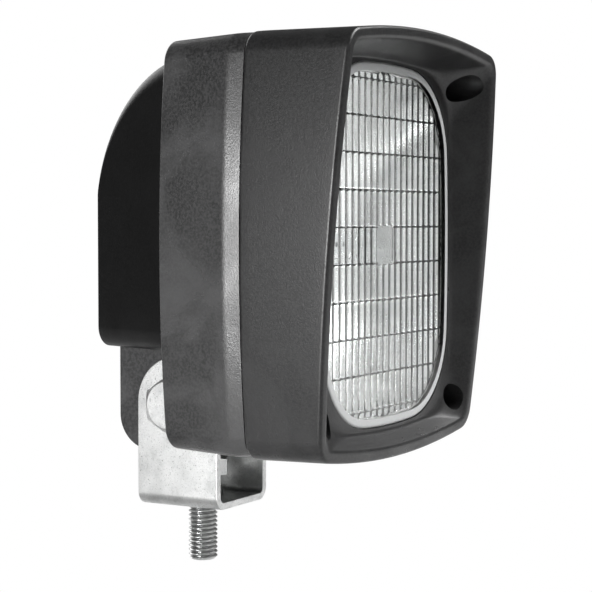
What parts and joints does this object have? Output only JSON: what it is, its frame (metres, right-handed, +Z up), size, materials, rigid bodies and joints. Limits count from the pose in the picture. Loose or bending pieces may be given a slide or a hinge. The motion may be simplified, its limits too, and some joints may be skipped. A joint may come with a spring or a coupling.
{
  "type": "auxiliary lamp",
  "caption": "Hooded rectangular auxiliary lamp with a fluted glass lens, tilting on a U bracket that swivels on a threaded stud.",
  "frame": {"origin": "on the mounting bolt's axis, at the plane of the bracket's underside", "axes": "+Z up, away from the vehicle; the light shines towards -Y; +X is to the right when facing along +Y"},
  "size_m": [0.1174, 0.1249, 0.1785],
  "materials": {
    "grained_plastic": "fine spark-eroded grain, dark grey, slightly sheened by handling",
    "housing_plastic": "coarser moulded grain, near black",
    "zinc_plate": "bright zinc plating with faint mill texture",
    "plain_steel": "bare pressed or drawn steel",
    "mirror_coat": "vacuum-metallised reflector",
    "lens_glass": "clear pressed glass",
    "bulb_quartz": "clear quartz",
    "seal_rubber": "matt black rubber",
    "brass": "turned brass",
    "tungsten": "dull drawn wire",
    "red_sleeve": "red wire insulation",
    "black_sleeve": "black wire insulation"
  },
  "bodies": {
    "stud": {"mounting_bolt": "zinc_plate"},
    "yoke": {"bracket": "zinc_plate", "pivot_bolt": "zinc_plate", "pivot_washer": "zinc_plate", "pivot_nut": "zinc_plate"},
    "lamp": {"rear_housing": "housing_plastic", "pivot_sleeve": "plain_steel", "housing_gasket": "seal_rubber", "side_frame": "grained_plastic", "hood": "grained_plastic", "lens": "lens_glass", "lens_gasket": "seal_rubber", "reflector": "mirror_coat", "bulb_seat": "plain_steel", "bulb_base": "plain_steel", "bulb_glass": "bulb_quartz", "bulb_filament": "tungsten", "live_lead": "red_sleeve", "ground_lead": "black_sleeve", "power_socket": "housing_plastic", "socket_pins": "brass", "socket_gasket": "seal_rubber", "socket_screws": "zinc_plate", "hood_screws": "zinc_plate", "thread_inserts": "brass", "breather_vent": "housing_plastic"},
    "bulb_clip": {"bulb_clip": "plain_steel"}
  },
  "joints": [
    {"name": "swivel", "type": "hinge", "parent": "stud", "child": "yoke", "pos_m": [0, 0, 0], "axis": [0, 0, 1], "continuous": true},
    {"name": "tilt", "type": "hinge", "parent": "yoke", "child": "lamp", "pos_m": [0, 0, 0.0355], "axis": [1, 0, 0], "range_deg": [-10, 10]},
    {"name": "clip_swing", "type": "hinge", "parent": "lamp", "child": "bulb_clip", "pos_m": [0, -0.0151, 0.0725], "axis": [1, 0, 0], "range_deg": [-35, 0]}
  ]
}
